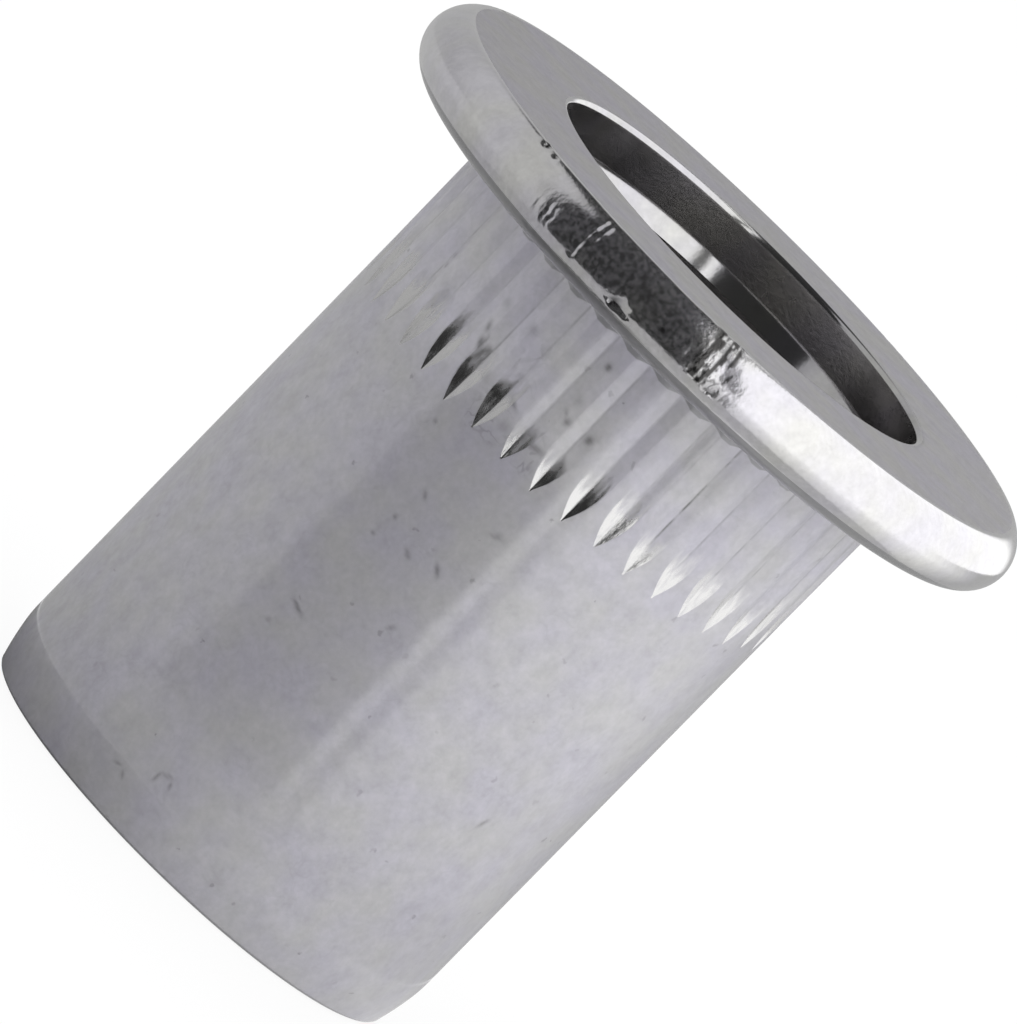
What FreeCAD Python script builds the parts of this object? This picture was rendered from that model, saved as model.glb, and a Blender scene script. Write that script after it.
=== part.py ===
import FreeCAD, Part
import math
import os
import Sketcher

# Flat-head rivet nut with a straight-grooved shank, open at both ends.
#
# The nut stands on its lower end face. The axis is +Z, and the origin is the centre of the
# lower end face. The screw enters through the flange, passes the counterbore, whose thin
# wall folds when the nut is set, and engages the threaded section at the lower end.
# Lengths are in millimetres.

NODE = "rivet_nut"
PARTS_FOLDER = "parts"

# Alias, value and meaning of each driving size.
SIZES = (
    ("overall_length", 16.05, "lower end face to flange top face"),
    ("flange_diameter", 15.85, "widest diameter of the flange"),
    ("flange_thickness", 1.55, "underside to top face"),
    ("rim_inset", 0.45, "edge of the top face to the widest radius of the rim"),
    ("shank_diameter", 10.9, "plain shank below the grooves"),
    ("grip_rise", 0.025, "gain of radius from the plain shank to the crests at the flange"),
    ("under_head_bevel", 0.3, "bevel in the corner between the flange and the shank"),
    ("nose_length", 1.1, "height of the curved nose at the lower end"),
    ("nose_inset", 0.32, "loss of radius over the nose"),
    ("nose_arc_radius", 6.5, "radius of the nose curve in section"),
    ("end_bevel", 0.1, "broken edge between the nose and the lower end face"),
    ("wall_thickness", 0.8, "wall between the counterbore and the shank"),
    ("mouth_inset", 0.16, "gain of radius from the counterbore to its wide mouth"),
    ("mouth_depth", 0.96, "flange top face to the foot of the wide mouth"),
    ("mouth_taper", 0.6, "height of the cone from the wide mouth to the counterbore"),
    ("mouth_bevel", 0.08, "broken edge between the wide mouth and the flange top face"),
    ("shoulder_length", 1.3, "height of the cone from the counterbore to the thread"),
    ("thread_core_diameter", 6.65, "minor diameter of the M8 x 1.25 thread"),
    ("thread_length", 5.3, "threaded section between the cone and the lead-in"),
    ("lead_in_length", 0.7, "height of the chamfer at the thread's lower mouth"),
    ("lead_in_inset", 0.75, "radial size of that chamfer"),
    ("groove_count", 40, "grooves round the shank"),
    ("groove_width", 0.6, "width of a groove at the crests"),
    ("groove_depth", 0.15, "depth of a groove below the plain shank"),
    ("groove_length", 3.73, "flange underside to the tip of a groove"),
    ("groove_runout", 1.0, "length over which a groove runs out to its tip"),
)
SIZE = {alias: value for alias, value, meaning in SIZES}

# How far the groove cutter reaches outside the metal that it cuts.
CUTTER_OVERRUN = 0.1
# How near an edge has to be to the radius and height that are asked for.
EDGE_TOLERANCE = 1e-4

# Places that more than one feature uses, worked out from the sizes above.
FLANGE_RADIUS = SIZE["flange_diameter"] / 2.0
SHANK_RADIUS = SIZE["shank_diameter"] / 2.0
CREST_RADIUS = SHANK_RADIUS + SIZE["grip_rise"]
END_RADIUS = SHANK_RADIUS - SIZE["nose_inset"]
COUNTERBORE_RADIUS = SHANK_RADIUS - SIZE["wall_thickness"]
MOUTH_RADIUS = COUNTERBORE_RADIUS + SIZE["mouth_inset"]
VALLEY_RADIUS = SHANK_RADIUS - SIZE["groove_depth"]
TOP = SIZE["overall_length"]
SEAT = TOP - SIZE["flange_thickness"]
TIP = SEAT - SIZE["groove_length"]

# Vertices of a line or an arc in a sketch.
START, END, CENTRE = 1, 2, 3


def make_sheet(doc):
    sheet = doc.addObject("Spreadsheet::Sheet", "Sizes")
    for row, (alias, value, meaning) in enumerate(SIZES, start=1):
        sheet.set(f"A{row}", meaning)
        sheet.set(f"B{row}", str(value))
        sheet.setAlias(f"B{row}", alias)
    doc.recompute()
    return sheet


def add_sketch(body, name, plane_role):
    sketch = body.newObject("Sketcher::SketchObject", name)
    planes = [plane for plane in body.Origin.OriginFeatures if plane.Role == plane_role]
    sketch.AttachmentSupport = (planes[0], [""])
    sketch.MapMode = "FlatFace"
    return sketch


def line(start, end):
    return Part.LineSegment(FreeCAD.Vector(*start, 0), FreeCAD.Vector(*end, 0))


def arc(centre, start, end):
    """Arc that runs counter-clockwise about centre, from the start's direction to the end's."""
    first = math.atan2(start[1] - centre[1], start[0] - centre[0])
    last = math.atan2(end[1] - centre[1], end[0] - centre[0])
    if last < first:
        last += 2.0 * math.pi
    circle = Part.Circle(FreeCAD.Vector(*centre, 0), FreeCAD.Vector(0, 0, 1),
                         math.dist(centre, start))
    return Part.ArcOfCircle(circle, first, last)


def arc_centre(low, high, radius):
    """Centre, on the axis side, of the arc of this radius through two points of a section."""
    half = math.dist(low, high) / 2.0
    offset = math.sqrt(radius ** 2 - half ** 2)
    across = (high[0] - low[0]) / (2.0 * half)
    up = (high[1] - low[1]) / (2.0 * half)
    return ((low[0] + high[0]) / 2.0 - offset * up, (low[1] + high[1]) / 2.0 + offset * across)


def join(sketch, *pairs):
    for first, first_vertex, second, second_vertex in pairs:
        sketch.addConstraint(
            Sketcher.Constraint("Coincident", first, first_vertex, second, second_vertex))


def align(sketch, direction, *geometry):
    """Make lines Horizontal or Vertical."""
    for index in geometry:
        sketch.addConstraint(Sketcher.Constraint(direction, index))


def drive(sketch, name, constraint, expression):
    """Add a dimension and bind it to the sheet."""
    index = sketch.addConstraint(constraint)
    sketch.renameConstraint(index, name)
    sketch.setExpression(f"Constraints.{name}", expression)


def place(sketch, name, direction, geometry, vertex, value, expression):
    """Dimension a vertex from the sketch's origin, across the axis (X) or along it (Y)."""
    constraint = Sketcher.Constraint(f"Distance{direction}", -1, 1, geometry, vertex, value)
    drive(sketch, name, constraint, expression)


def draw_blank(body):
    """Half section of the blank: flange with a bulged rim, shank and curved nose."""
    sketch = add_sketch(body, "BlankSection", "XZ_Plane")
    inset = SIZE["rim_inset"]
    thickness = SIZE["flange_thickness"]
    # The rim's arc is tangent to the underside and passes through the top face's edge.
    rim_radius = thickness + inset - math.sqrt(2.0 * thickness * inset)
    rim_middle = FLANGE_RADIUS - rim_radius
    face_edge = FLANGE_RADIUS - inset
    nose = SIZE["nose_length"]
    nose_centre = arc_centre((END_RADIUS, 0.0), (SHANK_RADIUS, nose), SIZE["nose_arc_radius"])

    axis, face, rim, underside, grip, shank, nose_arc, end_face = range(8)
    sketch.addGeometry([
        line((0.0, 0.0), (0.0, TOP)),
        line((0.0, TOP), (face_edge, TOP)),
        arc((rim_middle, SEAT + rim_radius), (rim_middle, SEAT), (face_edge, TOP)),
        line((rim_middle, SEAT), (CREST_RADIUS, SEAT)),
        line((CREST_RADIUS, SEAT), (SHANK_RADIUS, TIP)),
        line((SHANK_RADIUS, TIP), (SHANK_RADIUS, nose)),
        arc(nose_centre, (END_RADIUS, 0.0), (SHANK_RADIUS, nose)),
        line((END_RADIUS, 0.0), (0.0, 0.0)),
    ])
    join(sketch, (axis, START, -1, START), (axis, END, face, START), (face, END, rim, END),
         (rim, START, underside, START), (underside, END, grip, START),
         (grip, END, shank, START), (shank, END, nose_arc, END),
         (nose_arc, START, end_face, START), (end_face, END, axis, START))
    align(sketch, "Vertical", axis, shank)
    align(sketch, "Horizontal", face, underside, end_face)
    sketch.addConstraint(Sketcher.Constraint("Vertical", rim, CENTRE, rim, START))

    place(sketch, "overall_length", "Y", axis, END, TOP, "Sizes.overall_length")
    place(sketch, "seat_height", "Y", underside, START, SEAT,
          "Sizes.overall_length - Sizes.flange_thickness")
    place(sketch, "face_radius", "X", face, END, face_edge,
          "Sizes.flange_diameter / 2 - Sizes.rim_inset")
    place(sketch, "rim_middle", "X", rim, CENTRE, rim_middle,
          "Sizes.flange_diameter / 2 - Sizes.flange_thickness - Sizes.rim_inset"
          " + sqrt(2 * Sizes.flange_thickness * Sizes.rim_inset)")
    place(sketch, "crest_radius", "X", grip, START, CREST_RADIUS,
          "Sizes.shank_diameter / 2 + Sizes.grip_rise")
    place(sketch, "shank_radius", "X", shank, START, SHANK_RADIUS, "Sizes.shank_diameter / 2")
    place(sketch, "tip_level", "Y", shank, START, TIP,
          "Sizes.overall_length - Sizes.flange_thickness - Sizes.groove_length")
    place(sketch, "nose_length", "Y", shank, END, nose, "Sizes.nose_length")
    place(sketch, "end_radius", "X", nose_arc, START, END_RADIUS,
          "Sizes.shank_diameter / 2 - Sizes.nose_inset")
    drive(sketch, "nose_arc_radius",
          Sketcher.Constraint("Radius", nose_arc, SIZE["nose_arc_radius"]),
          "Sizes.nose_arc_radius")
    return sketch


def draw_bore(body):
    """Half section of the wide mouth, the counterbore, the shoulder and the thread's core."""
    sketch = add_sketch(body, "BoreSection", "XZ_Plane")
    core = SIZE["thread_core_diameter"] / 2.0
    lead_in = SIZE["lead_in_length"]
    lead_in_edge = core + SIZE["lead_in_inset"]
    thread_top = lead_in + SIZE["thread_length"]
    shoulder_top = thread_top + SIZE["shoulder_length"]
    mouth_foot = TOP - SIZE["mouth_depth"]
    taper_foot = mouth_foot - SIZE["mouth_taper"]

    axis, lower, chamfer, thread, shoulder, wall, taper, mouth, upper = range(9)
    sketch.addGeometry([
        line((0.0, TOP), (0.0, 0.0)),
        line((0.0, 0.0), (lead_in_edge, 0.0)),
        line((lead_in_edge, 0.0), (core, lead_in)),
        line((core, lead_in), (core, thread_top)),
        line((core, thread_top), (COUNTERBORE_RADIUS, shoulder_top)),
        line((COUNTERBORE_RADIUS, shoulder_top), (COUNTERBORE_RADIUS, taper_foot)),
        line((COUNTERBORE_RADIUS, taper_foot), (MOUTH_RADIUS, mouth_foot)),
        line((MOUTH_RADIUS, mouth_foot), (MOUTH_RADIUS, TOP)),
        line((MOUTH_RADIUS, TOP), (0.0, TOP)),
    ])
    join(sketch, (axis, END, -1, START), (axis, END, lower, START), (lower, END, chamfer, START),
         (chamfer, END, thread, START), (thread, END, shoulder, START),
         (shoulder, END, wall, START), (wall, END, taper, START), (taper, END, mouth, START),
         (mouth, END, upper, START), (upper, END, axis, START))
    align(sketch, "Vertical", axis, thread, wall, mouth)
    align(sketch, "Horizontal", lower, upper)

    place(sketch, "overall_length", "Y", axis, START, TOP, "Sizes.overall_length")
    place(sketch, "lead_in_edge", "X", lower, END, lead_in_edge,
          "Sizes.thread_core_diameter / 2 + Sizes.lead_in_inset")
    place(sketch, "core_radius", "X", thread, START, core, "Sizes.thread_core_diameter / 2")
    place(sketch, "lead_in_length", "Y", thread, START, lead_in, "Sizes.lead_in_length")
    place(sketch, "thread_top", "Y", thread, END, thread_top,
          "Sizes.lead_in_length + Sizes.thread_length")
    place(sketch, "shoulder_top", "Y", wall, START, shoulder_top,
          "Sizes.lead_in_length + Sizes.thread_length + Sizes.shoulder_length")
    place(sketch, "counterbore_radius", "X", wall, START, COUNTERBORE_RADIUS,
          "Sizes.shank_diameter / 2 - Sizes.wall_thickness")
    place(sketch, "taper_foot", "Y", taper, START, taper_foot,
          "Sizes.overall_length - Sizes.mouth_depth - Sizes.mouth_taper")
    place(sketch, "mouth_foot", "Y", mouth, START, mouth_foot,
          "Sizes.overall_length - Sizes.mouth_depth")
    place(sketch, "mouth_radius", "X", mouth, START, MOUTH_RADIUS,
          "Sizes.shank_diameter / 2 - Sizes.wall_thickness + Sizes.mouth_inset")
    return sketch


def draw_groove_path(body):
    """Bottom line of one groove: straight down from the flange, then out through the crest."""
    sketch = add_sketch(body, "GroovePath", "XZ_Plane")
    depth = SIZE["groove_depth"]
    turn_level = TIP + SIZE["groove_runout"]
    # The arc climbs the groove's depth over the run-out's length.
    radius = (SIZE["groove_runout"] ** 2 + depth ** 2) / (2.0 * depth)
    path_end = SHANK_RADIUS + CUTTER_OVERRUN
    drop = math.sqrt(radius ** 2 - (radius - (path_end - VALLEY_RADIUS)) ** 2)

    straight, runout = range(2)
    sketch.addGeometry([
        line((VALLEY_RADIUS, SEAT), (VALLEY_RADIUS, turn_level)),
        arc((VALLEY_RADIUS + radius, turn_level), (VALLEY_RADIUS, turn_level),
            (path_end, turn_level - drop)),
    ])
    join(sketch, (straight, END, runout, START))
    align(sketch, "Vertical", straight)
    sketch.addConstraint(Sketcher.Constraint("Horizontal", runout, CENTRE, runout, START))
    place(sketch, "valley_radius", "X", straight, START, VALLEY_RADIUS,
          "Sizes.shank_diameter / 2 - Sizes.groove_depth")
    place(sketch, "seat_height", "Y", straight, START, SEAT,
          "Sizes.overall_length - Sizes.flange_thickness")
    place(sketch, "turn_level", "Y", straight, END, turn_level,
          "Sizes.overall_length - Sizes.flange_thickness - Sizes.groove_length"
          " + Sizes.groove_runout")
    place(sketch, "path_end", "X", runout, END, path_end,
          f"Sizes.shank_diameter / 2 + {CUTTER_OVERRUN}")
    drive(sketch, "runout_radius", Sketcher.Constraint("Radius", runout, radius),
          "(Sizes.groove_runout ^ 2 + Sizes.groove_depth ^ 2) / (2 * Sizes.groove_depth)")
    return sketch


def draw_groove_section(body):
    """V section of one groove in the flange's seat plane, open outwards past the bevel."""
    sketch = add_sketch(body, "GrooveSection", "XY_Plane")
    sketch.setExpression("AttachmentOffset.Base.z",
                         "Sizes.overall_length - Sizes.flange_thickness")
    half = SIZE["groove_width"] / 2.0
    outside = CREST_RADIUS + SIZE["under_head_bevel"] + CUTTER_OVERRUN

    right_flank, right_side, outer, left_side, left_flank = range(5)
    sketch.addGeometry([
        line((VALLEY_RADIUS, 0.0), (CREST_RADIUS, half)),
        line((CREST_RADIUS, half), (outside, half)),
        line((outside, half), (outside, -half)),
        line((outside, -half), (CREST_RADIUS, -half)),
        line((CREST_RADIUS, -half), (VALLEY_RADIUS, 0.0)),
    ])
    join(sketch, (right_flank, END, right_side, START), (right_side, END, outer, START),
         (outer, END, left_side, START), (left_side, END, left_flank, START),
         (left_flank, END, right_flank, START))
    align(sketch, "Horizontal", right_side, left_side)
    align(sketch, "Vertical", outer)
    sketch.addConstraint(Sketcher.Constraint("PointOnObject", right_flank, START, -1))
    sketch.addConstraint(
        Sketcher.Constraint("Symmetric", right_flank, END, left_flank, START, -1))
    place(sketch, "valley_radius", "X", right_flank, START, VALLEY_RADIUS,
          "Sizes.shank_diameter / 2 - Sizes.groove_depth")
    place(sketch, "crest_radius", "X", right_flank, END, CREST_RADIUS,
          "Sizes.shank_diameter / 2 + Sizes.grip_rise")
    place(sketch, "half_width", "Y", right_flank, END, half, "Sizes.groove_width / 2")
    place(sketch, "outside", "X", right_side, END, outside,
          "Sizes.shank_diameter / 2 + Sizes.grip_rise + Sizes.under_head_bevel"
          f" + {CUTTER_OVERRUN}")
    return sketch


def circular_edges(shape, radius, height):
    """Names of the shape's round edges about the axis with this radius at this height."""
    names = []
    for number, edge in enumerate(shape.Edges, start=1):
        if not isinstance(edge.Curve, Part.Circle):
            continue
        near = (abs(edge.Curve.Radius - radius) < EDGE_TOLERANCE
                and abs(edge.Curve.Center.z - height) < EDGE_TOLERANCE)
        if near:
            names.append(f"Edge{number}")
    return names


def revolve(body, kind, name, sketch):
    """Full turn of a sketch about the nut's axis, as a Revolution or a Groove."""
    feature = body.newObject(f"PartDesign::{kind}", name)
    feature.Profile = sketch
    feature.ReferenceAxis = (sketch, ["V_Axis"])
    feature.Angle = 360.0
    body.Tip = feature
    body.Document.recompute()
    return feature


def bevel_edge(body, name, radius, height, size_alias):
    """Chamfer the round edge at this radius and height, with its size bound to the sheet."""
    base = body.Tip
    bevel = body.newObject("PartDesign::Chamfer", name)
    bevel.Base = (base, circular_edges(base.Shape, radius, height))
    bevel.setExpression("Size", f"Sizes.{size_alias}")
    body.Tip = bevel
    body.Document.recompute()
    return bevel


def make_rivet_nut(doc):
    """The nut as one body: blank, bore, broken edges, one groove and the ring of grooves."""
    body = doc.addObject("PartDesign::Body", "RivetNut")
    body.Label = NODE
    body.Placement = FreeCAD.Placement()

    blank = revolve(body, "Revolution", "Blank", draw_blank(body))
    bore = revolve(body, "Groove", "SteppedBore", draw_bore(body))
    if bore.Shape.Volume >= blank.Shape.Volume:
        raise RuntimeError("the bore cuts nothing")
    bevel_edge(body, "UnderHeadBevel", CREST_RADIUS, SEAT, "under_head_bevel")
    bevel_edge(body, "EndBevel", END_RADIUS, 0.0, "end_bevel")
    ungrooved = bevel_edge(body, "MouthBevel", MOUTH_RADIUS, TOP, "mouth_bevel")

    groove = body.newObject("PartDesign::SubtractivePipe", "GripGroove")
    groove.Profile = draw_groove_section(body)
    groove.Spine = (draw_groove_path(body), ["Edge1", "Edge2"])
    body.Tip = groove
    doc.recompute()

    ring = body.newObject("PartDesign::PolarPattern", "GripGrooves")
    ring.Originals = [groove]
    ring.Axis = (blank.Profile[0], ["V_Axis"])
    ring.Angle = 360.0
    ring.setExpression("Occurrences", "Sizes.groove_count")
    body.Tip = ring
    doc.recompute()
    check_grooves(ungrooved, groove, ring)
    return body


def check_grooves(before, groove, ring):
    """One groove has to take metal away, and the ring as much again for every groove."""
    one_groove = before.Shape.Volume - groove.Shape.Volume
    all_grooves = before.Shape.Volume - ring.Shape.Volume
    if one_groove <= 0.0:
        raise RuntimeError("the groove cuts nothing")
    if abs(all_grooves / one_groove - ring.Occurrences) > 0.01 * ring.Occurrences:
        raise RuntimeError("the ring of grooves isn't complete")


def check_document(doc):
    for item in doc.Objects:
        if "Invalid" in item.State or "Error" in item.State:
            raise RuntimeError(f"{item.Name} failed: {item.State}")


def check_solid(part):
    if part.Shape.isNull() or not part.Shape.isValid():
        raise RuntimeError(f"{part.Label} has no valid shape")
    if len(part.Shape.Solids) != 1:
        raise RuntimeError(f"{part.Label} has {len(part.Shape.Solids)} solids")


doc = FreeCAD.newDocument("RivetNut")
make_sheet(doc)
rivet_nut = make_rivet_nut(doc)
check_document(doc)
check_solid(rivet_nut)
os.makedirs(PARTS_FOLDER, exist_ok=True)
rivet_nut.Shape.exportStep(os.path.join(PARTS_FOLDER, f"{rivet_nut.Label}.step"))
print(f"{rivet_nut.Label}: volume {rivet_nut.Shape.Volume:.2f} mm3,"
      f" faces {len(rivet_nut.Shape.Faces)}")
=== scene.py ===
import math

import bmesh
import bpy
import numpy as np
from mathutils import Matrix, Vector, noise


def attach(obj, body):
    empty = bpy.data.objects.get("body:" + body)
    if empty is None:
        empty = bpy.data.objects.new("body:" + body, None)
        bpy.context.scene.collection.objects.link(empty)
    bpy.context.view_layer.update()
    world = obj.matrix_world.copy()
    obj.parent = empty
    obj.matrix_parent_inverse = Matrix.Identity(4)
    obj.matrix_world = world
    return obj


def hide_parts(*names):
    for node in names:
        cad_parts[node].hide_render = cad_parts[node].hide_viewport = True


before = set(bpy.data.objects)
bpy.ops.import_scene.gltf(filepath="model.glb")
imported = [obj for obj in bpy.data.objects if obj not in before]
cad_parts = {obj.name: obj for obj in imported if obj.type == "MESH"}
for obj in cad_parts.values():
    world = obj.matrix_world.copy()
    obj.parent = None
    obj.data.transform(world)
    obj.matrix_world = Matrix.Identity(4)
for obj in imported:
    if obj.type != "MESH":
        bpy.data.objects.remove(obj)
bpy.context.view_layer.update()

# ---------------------------------------------------------------------------------------
# Sizes, in millimetres. They are those of the CAD source, apart from the depth of the
# grooves, the foot of the cone in the mouth, the slight taper of the plain shank and the
# rounding of edges, which are finer here.
# ---------------------------------------------------------------------------------------
MM = 0.001
TOP = 16.05             # level of the flange's top face
FLANGE_R = 7.923        # widest radius of the rim, a hair inside the solid's
SEAT = 14.5             # underside of the flange
FACE_EDGE_R = 7.475     # where the flat top face ends and the rim starts
# The crease at that edge: how far inside it and how far below the face its points lie
FACE_CREASE = ((0.063, 0.001), (0.0252, 0.006))
# Below this level the rim's colour is darkened: a painted dark reflection of the shaded shank
# under the head.
RIM_DARK = 14.77        # the rim is dark below this level
SHANK_R = 5.45
CREST_RISE = 0.025      # the ribs stand this much proud under the head
FOOT_TAPER = 0.015      # the plain shank narrows this much towards the nose
PLAIN_TOP = 9.6         # below this level the shank is plain
NOSE_TOP = 1.1          # the nose starts here
NOSE_ARC_R = 6.5
NOSE_LEAD = 0.7         # the nose leaves this much of its arc out, so it starts at a slope
NOSE_SET_IN = 0.0378    # how far in the arc has come over that part
NOSE_SOFT = 0.2         # the crease above the nose is worn soft this far up and down
END_ROUND = 0.1         # rounding between the nose and the end face
COVE_R = 0.36           # rounding between the shank and the underside of the flange

GROOVES = 40
GROOVE_HALF = 0.30      # half the width of a full groove
GROOVE_DEEP = 0.095     # depth where the grooves run out; their walls tilt by 17.5 degrees
GROOVE_WORN = 0.105     # depth above that, where their edges are rounded
GROOVE_TURN = 11.77     # a groove starts to run out here
GROOVE_RUNOUT = 1.0     # and reaches the surface this much lower
GROOVE_TIP = 10.77      # which is here
RUNOUT_TOP = GROOVE_TURN + 0.1      # the run-outs lie between these levels, also where a
RUNOUT_FOOT = 10.62                 # groove is a little longer or shorter than the rest
RIBS_FOOT = 9.8         # from here down the columns of the mesh are evenly spaced

BORE_R = 4.65
BORE_OPENS = 12.0       # the bore widens a little from here up to the cone
MOUTH_R = 4.81
MOUTH_FOOT = 15.09      # the wide mouth ends here
TAPER_FOOT = 14.68      # and the cone below it here
TAPER_R = 4.71
TAPER_GAP = 0.012       # a row this close below the cone keeps the edge at its foot crisp
MOUTH_ROUND = 0.11
SHOULDER_TOP = 7.3
SHOULDER_FOOT = 6.0
CORE_R = 3.325
LEAD_IN_R = 4.075
LEAD_IN_TOP = 0.7
THREAD_PITCH = 1.25
THREAD_ROOT_R = 4.0
THREAD_TOP = 6.7        # above this level the cone has cut the thread away
# The thread's profile: a crest ends at this share of half a pitch from the middle of a
# root, and its flank takes up this share
THREAD_CREST = 0.93
THREAD_FLANK = 0.88

# The rim is one arc, tangent to the underside and through the edge of the top face.
RIM_ARC = TOP - SEAT + FLANGE_R - FACE_EDGE_R
RIM_ARC -= math.sqrt(2 * (TOP - SEAT) * (FLANGE_R - FACE_EDGE_R))
RIM_CENTRE = (FLANGE_R - RIM_ARC, SEAT + RIM_ARC)
RIM_START = math.degrees(math.asin((TOP - RIM_CENTRE[1]) / RIM_ARC))

TAU = 2 * math.pi
PITCH_ANGLE = TAU / GROOVES
PITCH_ARC = PITCH_ANGLE * SHANK_R

# Columns of the mesh across a groove, in half widths from its middle; the rest of a
# groove's columns are spaced over the land beside it.
ACROSS = np.array([-1.1, -1.0, -0.88, -0.5, -0.14, 0.0, 0.14, 0.5, 0.88, 1.0, 1.1])
MIDDLE = 5              # place of the groove's middle in it
RIB_COLUMNS = 14        # per groove, with the land
LAND_COLUMNS = RIB_COLUMNS - len(ACROSS)
# Columns round the nut in each zone. Neighbouring zones differ by a factor of two.
RIB_RING = GROOVES * RIB_COLUMNS
BODY_RING = RIB_RING // 2
BORE_RING = BODY_RING // 2
FIRST_COLUMN = MIDDLE / RIB_RING * TAU

# The materials, in the order in which the piece carries them
SHANK, RIM, FACE, BORE, THREAD, MOUTH = range(6)


def smoothstep(x):
    x = np.clip(x, 0.0, 1.0)
    return x * x * (3 - 2 * x)


def even(count):
    """Angles evenly spaced round the nut."""
    return np.arange(count) / count * TAU


def arc_points(centre, radius, start, end, count):
    """Points (r, z) on an arc, from one angle to the other in degrees."""
    r, z = centre
    angles = np.radians(np.linspace(start, end, count))
    return [(r + radius * math.cos(a), z + radius * math.sin(a)) for a in angles]


# ---------------------------------------------------------------------------------------
# The nut as one closed skin of rings
# ---------------------------------------------------------------------------------------
class Skin:
    """Rings of points about the axis, joined one to the next, with a material for each strip.

    Each point also carries values for the materials: burnish, 1 where the metal is rubbed
    bright, valley, 1 at the bottom of a groove, and the shade value, how far in millimetres it
    lies inside the painted shade under the head, on the rim's lower edge and on the end's edge.
    """

    def __init__(self):
        self.points = []
        self.values = {"burnish": [], "valley": [], "painted_shade": []}
        self.faces = []
        self.materials = []
        self.size = 0
        self.first = None
        self.last = None

    def ring(self, angles, radii, heights, material, burnish=0.0, valley=0.0, painted_shade=-1.0):
        """Adds a ring and joins it to the one before. Angle 0 faces the camera, -Y."""
        columns = np.broadcast_arrays(angles, radii, heights, burnish, valley, painted_shade)
        angles, radii, heights = columns[:3]
        block = np.stack([radii * np.sin(angles), -radii * np.cos(angles), heights], 1)
        here = (self.size, len(block))
        self.points.append(block)
        for name, column in zip(self.values, columns[3:]):
            self.values[name].append(column)
        self.size += len(block)
        if self.last is not None:
            self.join(self.last, here, material)
        self.first = self.first or here
        self.last = here

    def join(self, a, b, material):
        """Faces between two rings, of which one may have twice as many points."""
        (a0, na), (b0, nb) = a, b
        before = len(self.faces)
        if na == nb:
            for i in range(na):
                j = (i + 1) % na
                self.faces.append((a0 + i, a0 + j, b0 + j, b0 + i))
        elif na == 2 * nb:
            for i in range(nb):
                j, m, e = 2 * i, 2 * i + 1, (2 * i + 2) % na
                self.faces.append((a0 + j, a0 + m, b0 + i))
                self.faces.append((a0 + m, b0 + (i + 1) % nb, b0 + i))
                self.faces.append((a0 + m, a0 + e, b0 + (i + 1) % nb))
        else:
            for i in range(na):
                j, m, e = 2 * i, 2 * i + 1, (2 * i + 2) % nb
                self.faces.append((a0 + i, b0 + m, b0 + j))
                self.faces.append((a0 + i, a0 + (i + 1) % na, b0 + m))
                self.faces.append((a0 + (i + 1) % na, b0 + e, b0 + m))
        self.materials += [material] * (len(self.faces) - before)

    def close(self, material):
        self.join(self.last, self.first, material)


# Each groove differs a little from the next, as knurled ones do: in its place, depth and
# length, in how strongly and from how low down its tip is rubbed, and in how dirty it is.
rng = np.random.default_rng(7)
groove_angle = np.arange(GROOVES) * PITCH_ANGLE + rng.normal(0, 0.0016, GROOVES)
groove_depth = 1 + rng.normal(0, 0.05, GROOVES)
groove_tip = rng.normal(0, 0.035, GROOVES)
groove_rub = rng.uniform(0.8, 1.0, GROOVES)
groove_rub_top = rng.normal(0, 0.12, GROOVES)
groove_dirt = rng.uniform(0.3, 1.0, GROOVES)
groove_rub_top[[0, -1]] = -0.4      # the two in front are rubbed at the very tip only
DIRTY_GROOVE = 3                    # and this one is dirty all along
groove_rub_top[DIRTY_GROOVE] = -0.3
groove_dirt[DIRTY_GROOVE] = 2.2

# Values for the points across a groove and its land
FLANK = np.concatenate([np.where(np.abs(ACROSS) < 0.95, 1.0, 0.0), np.zeros(LAND_COLUMNS)])
VALLEY = np.concatenate([np.where(ACROSS == 0, 1.0, 0.0), np.zeros(LAND_COLUMNS)])
ARCH = np.concatenate([np.clip(1 - np.abs(ACROSS), 0, 1) ** 0.8, np.zeros(LAND_COLUMNS)])
EVEN_ACROSS = (np.arange(RIB_COLUMNS) - MIDDLE) / RIB_COLUMNS

# Painted shade under the head, where the flange shades the shank:
BAND_FOOT = 14.125      # the dark band under the head ends here on the lands
BAND_ARCH = 0.10        # and this much higher in the middle of a groove
VALLEY_ROUND = 0.006    # how round the bottom of a groove is
EDGE_SHARP = 0.002      # and its edges, where it runs out
EDGE_WORN = 0.03        # and how much rounder they are above that
# Places along a groove are in lengths of its run-out, from 0 where it starts to 1 at the tip.
FAR_ABOVE = -4.0        # nothing changes above this place
WORN_FROM = 0.3         # the edges get rounder from here up
WORN_OVER = 1.1         # over this length
RUB_FROM = 0.6          # rubbing starts this much above the run-out
RUB_OVER = 0.9          # and is full this much lower
EVEN_OVER = 0.9         # below the tip the columns part evenly over this length
TIP_WIDTH = 0.07        # a groove's mesh keeps this share of its width at the tip


def vee(q, blunt):
    """Depth across a groove, 1 at the middle and 0 at its edges. blunt rounds the corners."""
    straight = 1 - np.sqrt(q * q + VALLEY_ROUND)
    edge = 0.5 * (straight + np.sqrt(straight * straight + blunt))
    at_edge = 0.5 * (-0.1 + math.sqrt(0.01 + blunt))    # the same at the outermost column
    return np.clip(edge - at_edge, 0, 1)


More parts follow.
